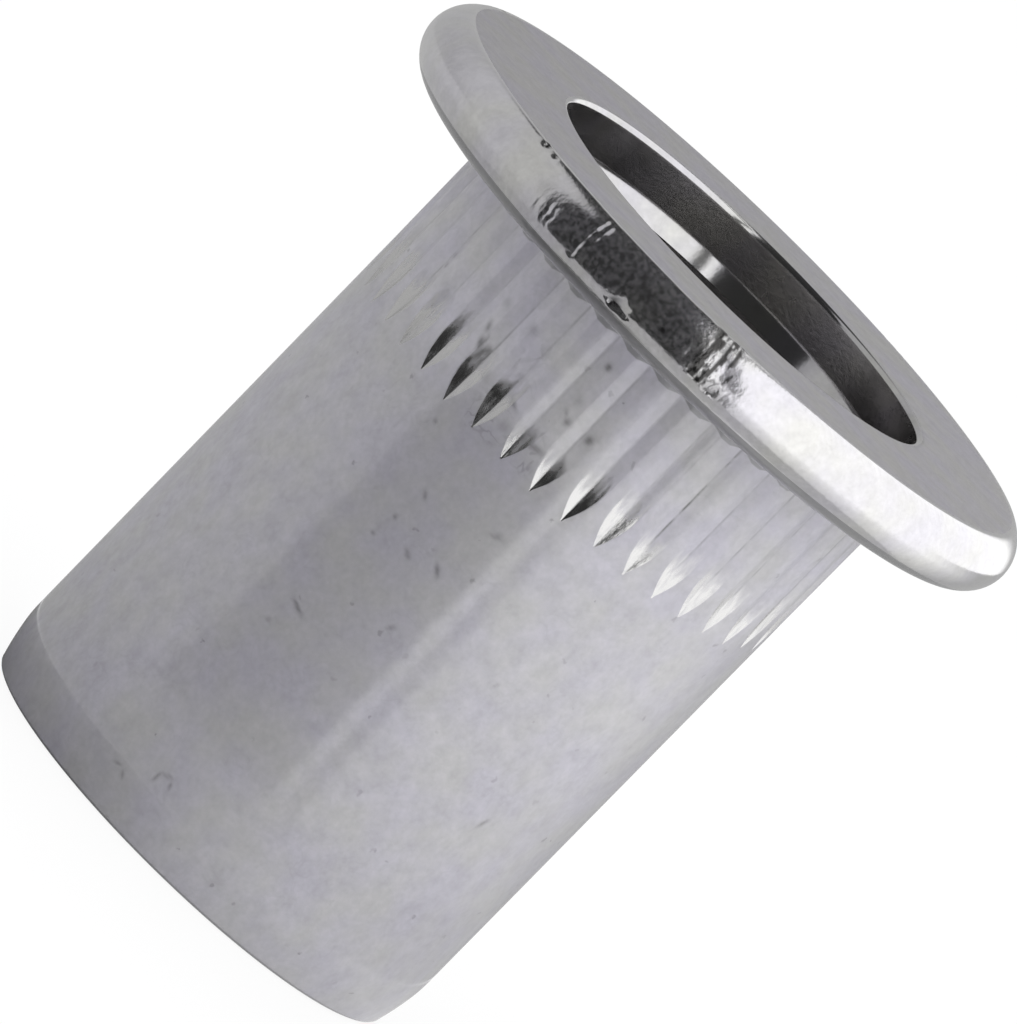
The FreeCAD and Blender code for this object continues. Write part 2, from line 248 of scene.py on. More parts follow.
def rib_ring(skin, z, crest, fade=1):
    """A ring across the grooves at one level. fade is 1 where they have their full depth."""
    angles, radii, rubbed, dirty = [], [], [], []
    for k in range(GROOVES):
        below = max(FAR_ABOVE, (GROOVE_TURN + groove_tip[k] - z) / GROOVE_RUNOUT)
        left = max(0.0, 1 - max(0.0, below) ** 2)
        width = GROOVE_HALF * max(left, TIP_WIDTH)
        worn = smoothstep((WORN_FROM - below) / WORN_OVER)
        full = GROOVE_DEEP + (GROOVE_WORN - GROOVE_DEEP) * worn
        depth = full * groove_depth[k] * left * fade
        side = ACROSS[-1] * width
        land = np.linspace(side, PITCH_ARC - side, LAND_COLUMNS + 2)[1:-1]
        place = np.concatenate([ACROSS * width, land])
        spread = smoothstep((below - 1.0) / EVEN_OVER)
        place = place * (1 - spread) + EVEN_ACROSS * PITCH_ARC * spread
        middle = groove_angle[k] * (1 - spread) + k * PITCH_ANGLE * spread
        profile = vee(ACROSS, EDGE_SHARP + EDGE_WORN * worn)
        cut = np.concatenate([profile, np.zeros(LAND_COLUMNS)]) * depth
        angles.append(middle + place / SHANK_R)
        radii.append(crest - cut)
        along = np.clip((below + RUB_FROM + groove_rub_top[k]) / RUB_OVER, 0, 1)
        rubbed.append(FLANK * (along * (below < 1.0)) * groove_rub[k])
        dirty.append(VALLEY * groove_dirt[k] * (below < 1.0))
    painted_shade = z - BAND_FOOT - BAND_ARCH * np.tile(ARCH, GROOVES)
    skin.ring(np.concatenate(angles), np.concatenate(radii), z, SHANK,
              np.concatenate(rubbed), np.concatenate(dirty), painted_shade)


def crest_radius(z):
    """Radius of the shank's outermost surface at a level."""
    rise = CREST_RISE * np.clip((z - GROOVE_TIP) / (SEAT - GROOVE_TIP), 0, 1)
    taper = FOOT_TAPER * np.clip((GROOVE_TIP - z) / (GROOVE_TIP - NOSE_TOP), 0, 1)
    return SHANK_R + rise - taper


def nose_radius(z):
    """Radius of the nose at a level, with the worn crease above it."""
    fall = NOSE_TOP - z
    near = max(0.0, NOSE_SOFT - abs(fall))
    soft = 0.25 * near ** 2 / NOSE_SOFT * NOSE_LEAD / NOSE_ARC_R
    reach = max(0.0, fall) + NOSE_LEAD
    arc = NOSE_ARC_R - math.sqrt(NOSE_ARC_R ** 2 - reach ** 2)
    return SHANK_R - FOOT_TAPER - arc + NOSE_SET_IN - soft


def shoulder_radius(z):
    """Radius of the cone between the thread and the counterbore at a level."""
    return CORE_R + (BORE_R - CORE_R) * (z - SHOULDER_FOOT) / (SHOULDER_TOP - SHOULDER_FOOT)


def thread_radius(angle, z):
    """Radius of the female thread: rounded crests at the core and rounded roots."""
    turn = (z / THREAD_PITCH - angle / TAU) % 1.0
    away = np.abs(turn - 0.5) * 2
    depth = smoothstep((THREAD_CREST - away) / THREAD_FLANK)
    return CORE_R + (THREAD_ROOT_R - CORE_R) * depth


def add_head(skin):
    """The rounded edge of the mouth, the flat face, and the rim down to the underside."""
    body = even(BODY_RING)
    for r, z in arc_points((MOUTH_R + MOUTH_ROUND, TOP - MOUTH_ROUND), MOUTH_ROUND, 180, 90, 7):
        skin.ring(body, r, z, MOUTH)
    for r in (5.0, 5.4, 5.9, 6.4, 6.9, 7.2, 7.38):
        skin.ring(body, r, TOP, FACE)
    for inset, drop in FACE_CREASE:
        skin.ring(body, FACE_EDGE_R - inset, TOP - drop, RIM)
    # The rim below RIM_DARK carries a painted dark reflection of the shaded shank.
    for r, z in arc_points(RIM_CENTRE, RIM_ARC, RIM_START - 2.0, -90, 26):
        skin.ring(body, r, z, RIM, painted_shade=RIM_DARK - z)


def add_ribs(skin):
    """The underside, the rounded corner, and the ribs with their run-out."""
    # The underside and the cove are fully in painted shade.
    for r in (6.8, 6.4, 6.05):
        skin.ring(even(BODY_RING), r, SEAT, SHANK, painted_shade=1.0)
    corner = SEAT - COVE_R
    centre = (crest_radius(corner) + COVE_R, corner)
    for r, z in arc_points(centre, COVE_R, 90, 180, 9):
        if z > SEAT - 1e-6:
            skin.ring(even(RIB_RING) - FIRST_COLUMN, r, z, SHANK, painted_shade=1.0)
        else:
            rib_ring(skin, z, r, 1 - smoothstep((z - corner) / (COVE_R * 0.85)))
    for top, foot, rows in ((corner, RUNOUT_TOP, 10), (RUNOUT_TOP, RUNOUT_FOOT, 26),
                            (RUNOUT_FOOT, RIBS_FOOT, 6)):
        for z in np.linspace(top, foot, rows)[1:]:
            rib_ring(skin, z, crest_radius(z))


def add_foot(skin):
    """The plain shank, the nose, its rounded edge and the end face."""
    body = even(BODY_RING) - FIRST_COLUMN
    soft_top = NOSE_TOP + NOSE_SOFT
    for z in np.linspace(PLAIN_TOP + 0.05, soft_top, 36):
        skin.ring(body, crest_radius(z), z, SHANK)
    for z in np.linspace(soft_top, END_ROUND, 19)[1:]:
        skin.ring(body, nose_radius(z), z, SHANK)
    edge = nose_radius(END_ROUND)
    # The rounded end edge is painted dark: a painted reflection of the contact shadow on the
    # floor.
    for a in np.radians((25, 50, 75)):
        r, z = edge - END_ROUND * (1 - math.cos(a)), END_ROUND * (1 - math.sin(a))
        skin.ring(body, r, z, SHANK, painted_shade=0.02)
    for r in (4.95, 4.65, 4.35, LEAD_IN_R + 0.03):
        skin.ring(body, r, 0.0, SHANK)


def add_bore(skin):
    """The lead-in, the thread and the cone above it, the counterbore and the wide mouth."""
    bore, body = even(BORE_RING), even(BODY_RING)
    for z in np.linspace(0.02, THREAD_TOP, 98):
        lead_in = LEAD_IN_R - (LEAD_IN_R - CORE_R) * z / LEAD_IN_TOP
        wall = max(lead_in, shoulder_radius(z), CORE_R)
        skin.ring(bore, np.maximum(wall, thread_radius(bore, z)), z, THREAD)
    for z in (6.9, 7.1):
        skin.ring(bore, shoulder_radius(z), z, BORE)
    for z in np.linspace(SHOULDER_TOP, BORE_OPENS, 12):
        skin.ring(bore, BORE_R, z, BORE)
    for z in np.linspace(BORE_OPENS + 0.3, TAPER_FOOT - TAPER_GAP, 9):
        ease = smoothstep((z - BORE_OPENS) / (TAPER_FOOT - BORE_OPENS))
        skin.ring(body, BORE_R + (TAPER_R - BORE_R) * ease, z, BORE)
    for z in np.linspace(TAPER_FOOT, MOUTH_FOOT, 6):
        share = (z - TAPER_FOOT) / (MOUTH_FOOT - TAPER_FOOT)
        skin.ring(body, TAPER_R + (MOUTH_R - TAPER_R) * share, z, MOUTH)
    for z in (MOUTH_FOOT + 0.03, 15.3, 15.6, 15.9):
        skin.ring(body, MOUTH_R, z, BORE)


def build_skin():
    skin = Skin()
    for add_zone in (add_head, add_ribs, add_foot, add_bore):
        add_zone(skin)
    skin.close(BORE)
    return skin


# ---------------------------------------------------------------------------------------
# Marks of use: dents and scuffs in the mesh
# ---------------------------------------------------------------------------------------
# Dents in the shank: angle in degrees, height, length, width, slant in degrees, depth
SHANK_DENTS = (
    (-17.9, 5.80, 0.40, 0.10, -17, 0.022),
    (-2.2, 8.32, 0.28, 0.11, -42, 0.020),
    (-9.0, 8.13, 0.24, 0.10, -25, 0.016),
    (-15.0, 9.20, 0.20, 0.10, -45, 0.016),
    (1.6, 9.62, 0.30, 0.09, 14, 0.014),
    (46.7, 5.02, 0.34, 0.10, 68, 0.018),
    (-16.4, 8.47, 0.13, 0.11, 0, 0.016),
    (-17.4, 7.93, 0.11, 0.09, 0, 0.014),
    (-0.8, 6.85, 0.22, 0.09, 45, 0.012),
    (-20.5, 5.20, 0.16, 0.10, 10, 0.012),
    (-24.6, 10.35, 0.14, 0.11, 0, 0.012),
    (24.0, 7.40, 0.20, 0.08, 60, 0.008),
    (-14.1, 1.42, 0.24, 0.07, 80, 0.018),
    (-12.5, 1.57, 0.24, 0.07, 12, 0.018),
    (-10.6, 1.47, 0.16, 0.07, -60, 0.018),
    (-22.4, 0.98, 0.20, 0.08, 20, 0.014),
    (-19.8, 0.90, 0.16, 0.08, -55, 0.014),
    (132.0, 6.30, 0.36, 0.10, -30, 0.018),
    (158.0, 4.10, 0.22, 0.10, 35, 0.014),
    (-121.0, 7.70, 0.30, 0.10, 20, 0.016),
    (-97.0, 3.40, 0.18, 0.10, -50, 0.014),
)
# Dark smudges on the ribs: angle, height, length, width, slant, darkness
SMUDGES = (
    (-6.1, 13.61, 0.16, 0.15, 0, 0.80),
    (1.6, 12.29, 0.20, 0.17, 60, 0.75),
    (-4.4, 12.26, 0.17, 0.15, 0, 0.60),
    (-5.6, 12.36, 0.26, 0.08, -45, 0.35),
    (-31.3, 12.40, 0.24, 0.12, -65, 0.60),
    (-30.2, 12.08, 0.26, 0.13, -65, 0.70),
    (-15.0, 11.74, 0.30, 0.10, -25, 0.60),
    (-16.6, 11.58, 0.30, 0.09, 62, 0.45),
    (-5.3, 11.43, 0.50, 0.14, 8, 0.55),
    (-23.4, 13.04, 0.24, 0.22, 0, 0.28),
    (-32.0, 13.00, 0.24, 0.24, 0, 0.30),
    (-5.5, 12.72, 0.24, 0.22, 0, 0.25),
    (-52.9, 12.72, 0.14, 0.12, 0, 0.40),
    (-52.6, 12.46, 0.14, 0.12, 0, 0.40),
    (-23.9, 11.72, 0.42, 0.26, 0, 0.22),
    (-13.2, 11.30, 0.26, 0.20, 40, 0.25),
    (118.0, 12.60, 0.30, 0.14, 30, 0.50),
    (-134.0, 11.90, 0.24, 0.18, 0, 0.50),
)
# Scuffs across the rim: angles from and to, steepest slope, size of the wrinkles along and
# round, height, and how much of them is painted dark in blots of painted reflection
RIM_SCUFFS = (
    (-30.5, -24.5, 34, 0.60, 0.080, 0.0042, 0.0),
    (-4.5, -1.5, 90, 0.25, 0.090, 0.0040, 0.0),
    (2.6, 10.6, 90, 0.70, 0.100, 0.0022, 0.62),
    (1.5, 12.2, 14, 0.22, 0.150, 0.0065, 0.0),
    (-110.0, -101.0, 90, 0.40, 0.090, 0.0040, 0.3),
    (151.0, 159.0, 90, 0.20, 0.120, 0.0060, 0.3),
)
# Cuts up the rim: angle, slopes of the rim where it starts and ends, half width, depth
RIM_CUTS = (
    (-19.9, -24.0, 52.0, 0.070, 0.028),
    (-18.6, 5.0, 48.0, 0.055, 0.020),
    (-27.0, -22.0, 8.0, 0.045, 0.012),
    (-25.9, -18.0, 12.0, 0.035, 0.009),
)
# Pits on the rim: angle, slope of the rim there in degrees, half width, depth
RIM_PITS = (
    (-36.6, 60.0, 0.085, 0.055),
    (-33.8, 56.0, 0.05, 0.025),
    (-2.4, -2.0, 0.07, 0.012),
    (112.0, 10.0, 0.08, 0.03),
)
# Torn nicks in the rim: angle, slope, half width, half height, depth
RIM_NICKS = (
    (-9.4, -14.0, 0.38, 0.31, 0.115),
    (8.4, -14.0, 0.20, 0.20, 0.035),
    (-141.0, 12.0, 0.20, 0.16, 0.050),
)
MARKED_RIM_R = 7.3      # the rim's marks lie outside this radius
MARKED_SHANK_R = 5.0    # and the shank's outside this one, between these levels
MARKED_FOOT = 0.3
MARKED_TOP = 14.0
# How far round a mark's middle the mesh is made finer. On the rim: round the nut and up the
# rim's arc, both in degrees
CUT_REACH = (2.2, 12)   # the second one from the cut's two ends
PIT_REACH = (2.2, 20)
NICK_REACH = (4.5, 32)
DENT_REACH = 0.9        # on the shank: in lengths of the dent
DENT_MARGIN = 0.05      # and this much more in millimetres
SCUFF_FADE = (1.5, 16, 12)      # over how many degrees its ends, top and foot fade
CUT_FADE = (8, 12)      # how many degrees a cut's ends reach further, and fade over
SCUFF_FOOT = -62.0      # no scuff reaches further under the rim than this slope
# The scuffs' blots of painted dark reflection stop at this slope:
STAIN_FOOT = -22.0      # and no stain of a scuff further than this one
DARKEST = 0.021         # a dent this deep is at its darkest
SHARP_ANGLE = 38.0      # edges that turn by more degrees than this are sharp
SMUDGE_GAIN = 1.6       # a smudge is full over more than its middle


def around(co):
    """Angle, radius and height of a point in millimetres."""
    return math.atan2(co.x, -co.y), math.hypot(co.x, co.y) / MM, co.z / MM


def move_to(co, angle, r, z):
    co.x, co.y, co.z = r * math.sin(angle) * MM, -r * math.cos(angle) * MM, z * MM


def rim_slope(r, z):
    """Direction from the centre of the rim's arc, 0 at its widest and up towards the face."""
    return math.atan2(z - RIM_CENTRE[1], r - RIM_CENTRE[0])


def gauss(x, y=0.0):
    return math.exp(-x ** 2 - y ** 2)


def dent_shape(angle, z, dent):
    """How deep a dent reaches at a point, from 0 to 1."""
    place, height, length, width, slant = dent[:5]
    across = (angle - math.radians(place)) * SHANK_R
    up = z - height
    c, s = math.cos(math.radians(slant)), math.sin(math.radians(slant))
    along, aside = across * c + up * s, up * c - across * s
    return gauss(2 * along / length, 2 * aside / width)


def near_dent(angle, z):
    for place, height, length, *_ in SHANK_DENTS + SMUDGES:
        across = (angle - math.radians(place)) * SHANK_R
        if math.hypot(across, z - height) < length * DENT_REACH + DENT_MARGIN:
            return True
    return False


def near_rim_mark(angle, slope):
    a, e = math.degrees(angle), math.degrees(slope)

    def near(mark, reach):
        return abs(a - mark[0]) < reach[0] and mark[1] - reach[1] < e < mark[-1] + reach[1]

    return (
        any(low < a < high and SCUFF_FOOT < e < top for low, high, top, *_ in RIM_SCUFFS)
        or any(near(cut[:3], CUT_REACH) for cut in RIM_CUTS)
        or any(near(nick[:2], NICK_REACH) for nick in RIM_NICKS)
        or any(near(pit[:2], PIT_REACH) for pit in RIM_PITS)
    )


# Each of these gives the height of one mark over the plain rim at a point, and how dark
# the point is painted, a painted dark reflection. The noise makes the marks uneven.
def scuff_relief(angle, slope, low, high, top, tall, wide, height, stain):
    a, e = math.degrees(angle), math.degrees(slope)
    at_ends, at_top, at_foot = SCUFF_FADE
    inside = smoothstep((a - low) / at_ends) * smoothstep((high - a) / at_ends)
    inside *= smoothstep((top - e) / at_top) * smoothstep((e - SCUFF_FOOT) / at_foot)
    if inside <= 0:
        return 0.0, 0.0
    inside = float(inside)
    x, y = angle * FLANGE_R, slope * RIM_ARC
    relief = inside * height * noise.fractal(Vector((x / wide, y / tall, low)), 0.7, 2.1, 3)
    if stain <= 0 or e <= STAIN_FOOT:
        return relief, 0.0
    # Painted dark in blots of painted reflection, fewer of them towards the higher angle
    at = Vector((x / 0.16, y / 0.45, high))
    blot = noise.noise(at) + 0.5 * noise.noise(at * 2.6) - 0.55
    blot += stain * (1.6 - 1.2 * (a - low) / (high - low))
    return relief, inside * float(smoothstep(blot / 0.16))


def cut_relief(angle, slope, place, foot, head, half, depth):
    a, e = math.degrees(angle), math.degrees(slope)
    bend = 0.30 * noise.noise(Vector((slope * 5.0, place, 2.0)))
    bend += 0.12 * noise.noise(Vector((slope * 22.0, place, 7.0)))
    across = (a - place - bend) * math.radians(FLANGE_R) / half
    further, fade = CUT_FADE
    inside = smoothstep((e - foot + further) / fade) * smoothstep((head + further - e) / fade)
    inside = float(inside)
    inside *= 0.75 + 0.6 * noise.noise(Vector((slope * 9.0, place, 4.0)))
    return -depth * inside * gauss(across), 0.0


def pit_relief(angle, slope, place, tilt, half, depth):
    a, e = math.degrees(angle), math.degrees(slope)
    off = math.hypot((a - place) * math.radians(FLANGE_R), math.radians(e - tilt) * RIM_ARC)
    well = gauss(off / half)
    return -depth * well, well


def nick_relief(angle, slope, place, tilt, half, tall, depth):
    a, e = math.degrees(angle), math.degrees(slope)
    x = (a - place) * math.radians(FLANGE_R) / half
    y = math.radians(e - tilt) * RIM_ARC / tall
    x += 0.22 * noise.noise(Vector((x * 1.7, y * 1.7, place)))
    y += 0.22 * noise.noise(Vector((x * 1.9, y * 1.9, place + 9)))
    # Deepest near its lower edge, with a long even slope down from its upper one
    deepest = -0.62
    off = math.hypot(x, (y - deepest) / (1 - deepest if y > deepest else 1 + deepest))
    bowl = 0.5 * (1 - off + math.sqrt((1 - off) ** 2 + 0.02))
    return -depth * bowl, 0.9 * gauss(math.hypot((x + 0.3) * 2.8, (y + 0.6) * 2.8))


def rim_relief(angle, slope):
    """Height of all the rim's marks over its plain arc, and how dark they are painted, as a
    painted dark reflection.
    """
    relief, dirt = 0.0, 0.0
    for shape, marks in ((scuff_relief, RIM_SCUFFS), (cut_relief, RIM_CUTS),
                         (pit_relief, RIM_PITS), (nick_relief, RIM_NICKS)):
        for mark in marks:
            height, stain = shape(angle, slope, *mark)
            relief += height
            dirt = max(dirt, stain)
    return relief, dirt


def marked_faces(work):
    """The faces that carry a mark, which are made finer. The run-outs are fine already."""
    for face in work.faces:
        if len(face.verts) != 4:
            continue
        angle, r, z = around(face.calc_center_median())
        if r > MARKED_RIM_R and z > SEAT + 0.05:
            if near_rim_mark(angle, rim_slope(r, z)):
                yield face
        elif RUNOUT_FOOT < z < RUNOUT_TOP:
            continue
        elif r > MARKED_SHANK_R and MARKED_FOOT < z < MARKED_TOP and near_dent(angle, z):
            yield face


def mark_rim(vert, layer, angle, r, z):
    slope = rim_slope(r, z)
    if not near_rim_mark(angle, slope):
        return
    relief, dirt = rim_relief(angle, slope)
    # On the crease at the face the points lie a little inside the arc.
    arc = RIM_ARC if z < TOP - 0.02 else math.hypot(r - RIM_CENTRE[0], z - RIM_CENTRE[1])
    arc += relief
    r = min(RIM_CENTRE[0] + arc * math.cos(slope), FLANGE_R - 0.001)
    z = min(RIM_CENTRE[1] + arc * math.sin(slope), TOP)
    move_to(vert.co, angle, r, z)
    vert[layer] = dirt


def mark_shank(vert, layer, angle, r, z):
    if NOSE_TOP + NOSE_SOFT < z < PLAIN_TOP:
        r = float(crest_radius(z))      # new points lie on the true round
    deep = 0.0
    for dent in SHANK_DENTS:
        shape = dent_shape(angle, z, dent)
        r -= dent[5] * shape
        deep = max(deep, shape * min(1.0, dent[5] / DARKEST))
    for smudge in SMUDGES:
        deep = max(deep, SMUDGE_GAIN * smudge[5] * dent_shape(angle, z, smudge))
    move_to(vert.co, angle, r, z)
    vert[layer] = deep


def add_marks(work):
    """Makes the mesh finer round each mark and moves its points."""
    layer = work.verts.layers.float["mark"]
    edges = {edge for face in marked_faces(work) for edge in face.edges}
    edges = sorted(edges, key=lambda edge: edge.index)
    bmesh.ops.subdivide_edges(work, edges=edges, cuts=3, use_grid_fill=True)
    for vert in work.verts:
        angle, r, z = around(vert.co)
        if r > MARKED_RIM_R and SEAT + 0.02 < z < TOP - 0.0005:
            mark_rim(vert, layer, angle, r, z)
        elif r > MARKED_SHANK_R and MARKED_FOOT < z < MARKED_TOP + 0.1 and near_dent(angle, z):
            mark_shank(vert, layer, angle, r, z)


def mark_sharp_edges(mesh):
    """Sharp where the skin turns by much, and at the foot of the cone in the mouth."""
    mesh.set_sharp_from_angle(angle=math.radians(SHARP_ANGLE))
    for edge in mesh.edges:
        ends = [around(mesh.vertices[i].co) for i in edge.vertices]
        if all(abs(z - TAPER_FOOT) < 1e-4 and abs(r - TAPER_R) < 1e-3 for _, r, z in ends):
            edge.use_edge_sharp = True


def make_nut():
    skin = build_skin()
    points = np.concatenate(skin.points)
    mesh = bpy.data.meshes.new("rivet_nut_body")
    mesh.from_pydata((points * MM).tolist(), [], skin.faces)
    mesh.polygons.foreach_set("material_index", skin.materials)
    mesh.polygons.foreach_set("use_smooth", [True] * len(skin.faces))
    values = {name: np.concatenate(columns) for name, columns in skin.values.items()}
    values["mark"] = np.zeros(len(points))
    for name, column in values.items():
        layer = mesh.attributes.new(name, "FLOAT", "POINT")
        layer.data.foreach_set("value", column.astype(np.float32))
    work = bmesh.new()
    work.from_mesh(mesh)
    add_marks(work)
    bmesh.ops.recalc_face_normals(work, faces=work.faces)
    work.to_mesh(mesh)
    work.free()
    mark_sharp_edges(mesh)
    piece = bpy.data.objects.new("rivet_nut_body", mesh)
    bpy.context.scene.collection.objects.link(piece)
    return piece


# ---------------------------------------------------------------------------------------
# Materials
# ---------------------------------------------------------------------------------------
# The colour of the painted shade under the head, on the rim's lower edge and at the end's edge:
PAINTED_SHADE_COLOUR = (0.23, 0.23, 0.237)       # under the head
# Painted dark reflection in the rim's marks:
MARK_COLOUR = (0.05, 0.048, 0.046)      # in the rim's marks
DIRT_COLOUR = (0.07, 0.068, 0.066)      # in the shank's
VALLEY_COLOUR = (0.1, 0.1, 0.1)         # at the bottom of the grooves
RUBBED_COLOUR = (0.66, 0.655, 0.65)
WARM = (1.01, 1.012, 0.965)             # the plating's hue changes between these two
COOL = (0.995, 0.985, 1.03)


class Tree:
    """Short forms for adding and linking the nodes of one material, or of the world."""

    def __init__(self, owner):
        self.owner = owner
        owner.use_nodes = True
        self.nodes = owner.node_tree.nodes
        self.links = owner.node_tree.links
        self.nodes.clear()

    def feed(self, socket, value):
        """Links an output into a socket, or sets it to a plain value."""
        if isinstance(value, bpy.types.NodeSocket):
            self.links.new(value, socket)
        else:
            socket.default_value = value

    def add(self, kind, settings=None, **inputs):
        node = self.nodes.new(kind)
        for name, value in (settings or {}).items():
            setattr(node, name, value)
        for name, value in inputs.items():
            self.feed(node.inputs[name.replace("_", " ")], value)
        return node

    def math(self, operation, a, b=0.0, c=0.0):
        node = self.add("ShaderNodeMath", {"operation": operation})
        for socket, value in zip(node.inputs, (a, b, c)):
            self.feed(socket, value)
        return node.outputs[0]

    def vector_math(self, operation, *inputs):
        node = self.add("ShaderNodeVectorMath", {"operation": operation})
        for socket, value in zip(node.inputs, inputs):
            self.feed(socket, value)
        return node.outputs[0]

    def times(self, a, b):
        return self.math("MULTIPLY", a, b)

    def span(self, value, low, high, to_low=0.0, to_high=1.0, kind="LINEAR"):
        node = self.add("ShaderNodeMapRange", {"interpolation_type": kind}, Value=value)
        for socket, number in (("From Min", low), ("From Max", high),
                               ("To Min", to_low), ("To Max", to_high)):
            self.feed(node.inputs[socket], number)
        return node.outputs["Result"]

    def ease(self, value, low, high, to_low=0.0, to_high=1.0):
        return self.span(value, low, high, to_low, to_high, "SMOOTHSTEP")

    def fade(self, share, a, b):
        """From a where the share is 0 to b where it is 1."""
        return self.span(share, 0, 1, a, b)

    def noise(self, vector, scale, detail=2.0, distortion=0.0):
        node = self.add("ShaderNodeTexNoise", Vector=vector, Scale=scale, Detail=detail,
                        Distortion=distortion)
        return node.outputs["Fac"]

    def blend(self, factor, a, b, kind="MIX"):
        node = self.add("ShaderNodeMix", {"data_type": "RGBA", "blend_type": kind})
        self.feed(node.inputs["Factor"], factor)
        for name, value in (("A", a), ("B", b)):
            self.feed(node.inputs[name], (*value, 1) if isinstance(value, tuple) else value)
        return node.outputs["Result"]

    def tint(self, colour, tone):
        return self.blend(1.0, colour, tone, "MULTIPLY")

    def attribute(self, name):
        return self.add("ShaderNodeAttribute", {"attribute_name": name}).outputs["Fac"]

    def split(self, vector):
        return self.add("ShaderNodeSeparateXYZ", Vector=vector).outputs

    def turn(self, x, y):
        """Angle round the nut, 0 towards the camera."""
        return self.math("ARCTAN2", x, self.times(y, -1.0))

    def bump(self, height, distance, normal=None, strength=1.0):
        node = self.add("ShaderNodeBump", Height=height, Strength=strength)
        node.inputs["Distance"].default_value = distance * MM
        if normal is not None:
            self.feed(node.inputs["Normal"], normal)
        return node.outputs["Normal"]

    def seen_rays(self):
        """1 for the rays that look at the background: the camera's and those of gloss and
        glass."""
        path = self.add("ShaderNodeLightPath").outputs
        seen = self.math("ADD", path["Is Camera Ray"], path["Is Glossy Ray"])
        return self.math("ADD", seen, path["Is Transmission Ray"])

    def surface(self, shader, output="ShaderNodeOutputMaterial"):
        self.links.new(shader.outputs[0], self.add(output).inputs["Surface"])

    def mix_shaders(self, factor, a, b):
        node = self.add("ShaderNodeMixShader", Fac=factor)
        self.links.new(a.outputs[0], node.inputs[1])
        self.links.new(b.outputs[0], node.inputs[2])
        return node


def new_tree(name):
    return Tree(bpy.data.materials.new(name))


def unrolled(tree, position):
    """The surface round the axis laid out flat, in metres."""
    x, y, z = tree.split(position)
    across = tree.times(tree.turn(x, y), SHANK_R * MM)
    return tree.add("ShaderNodeCombineXYZ", X=across, Y=z).outputs[0]


def spots(tree, flat, scale, share, size):
    """Scattered spots, 1 where they are. share is how many of the cells have one, and size
    their radius in cells."""
    wobble = tree.add("ShaderNodeTexNoise", Vector=flat, Scale=scale * 4, Detail=2.0)
    place = tree.vector_math("MULTIPLY_ADD", wobble.outputs["Color"], (0.35 / scale,) * 3, flat)
    cells = tree.add("ShaderNodeTexVoronoi", {"voronoi_dimensions": "2D"},
                     Vector=place, Scale=scale)
    tones = tree.add("ShaderNodeSeparateColor", Color=cells.outputs["Color"]).outputs
    radius = tree.fade(tones[0], size * 0.4, size)
    reach = tree.math("DIVIDE", cells.outputs["Distance"], radius)
    shape = tree.ease(reach, 0.3, 1.0, 1.0, 0.0)
    there = tree.math("LESS_THAN", tones[1], share)
    return tree.times(shape, tree.times(there, tones[2]))


def stains(tree, position, scale):
    """Soft curling smudges, gathered in patches, as dried drops leave."""
    field = tree.noise(position, scale, 2, 0.8)
    off = tree.math("ABSOLUTE", tree.math("SUBTRACT", field, 0.5))
    lines = tree.ease(off, 0.0, 0.07, 1.0, 0.0)
    patch = tree.ease(tree.noise(position, scale * 0.35, 1), 0.5, 0.62)
    return tree.times(lines, patch)


def stretched(tree, position, share):
    """The position squeezed along the axis, which draws a texture out along it."""
    mapping = tree.add("ShaderNodeMapping", Vector=position)
    mapping.inputs["Scale"].default_value = (1, 1, share)
    return mapping.outputs[0]


def window(tree, value, low, high, soft):
    """1 between low and high, both in millimetres, falling to 0 over the soft distance."""
    rise = tree.ease(value, (low - soft) * MM, low * MM)
    fall = tree.ease(value, high * MM, (high + soft) * MM, 1.0, 0.0)
    return tree.times(rise, fall)


def wear_shank(tree, position, cloud, mark, look):
    """Specks, stains and dirt on the shank, its duller ribs, and their rubbed tips."""
    flat = unrolled(tree, position)
    across, height = tree.split(flat)[:2]
    # The ribs are duller and a little brighter than the plain shank.
    ribs = tree.ease(height, 10.9 * MM, 11.9 * MM)
    look["colour"] = tree.tint(look["colour"], tree.fade(ribs, 1.0, 1.085))
    for part, there in (("metal", 0.38), ("rough", 0.62), ("coat", 0.6)):
        look[part] = tree.fade(ribs, look[part], there)
    # Specks and stains, more of them left of the middle near the tips; the marks in the mesh
    dirt = tree.times(spots(tree, flat, 1500, 0.2, 0.13), 0.4)
    by_tips = tree.times(window(tree, across, -1.9, -0.2, 0.3),
                         window(tree, height, 11.0, 12.7, 0.4))
    smudge = tree.times(stains(tree, position, 2200), tree.fade(by_tips, 0.05, 0.26))
    dirt = tree.math("MAXIMUM", dirt, smudge)
    dirt = tree.math("MAXIMUM", dirt, tree.times(mark, 0.6))
    look["colour"] = tree.blend(dirt, look["colour"], DIRT_COLOUR)
    settled = tree.times(tree.attribute("valley"), tree.span(cloud, 0.4, 0.6, 0.1, 0.45))
    look["colour"] = tree.blend(settled, look["colour"], VALLEY_COLOUR)
    # The rubbed tips: ragged at their edge, and drawn along the axis
    patchy = tree.noise(stretched(tree, position, 0.3), 9000, 3)
    ragged = tree.math("ADD", tree.attribute("burnish"),
                       tree.math("MULTIPLY_ADD", patchy, 1.1, -0.55))
    rubbed = tree.ease(ragged, 0.2, 1.0)
    sleek = tree.math("POWER", rubbed, 0.55)
    look["colour"] = tree.blend(rubbed, look["colour"], RUBBED_COLOUR)
    look["rough"] = tree.fade(sleek, look["rough"], 0.16)
    look["metal"] = tree.fade(sleek, look["metal"], 1.0)
    drawn = tree.noise(stretched(tree, position, 0.03), 22000, 2)
    look["normal"] = tree.bump(drawn, 0.0015, look["normal"], rubbed)


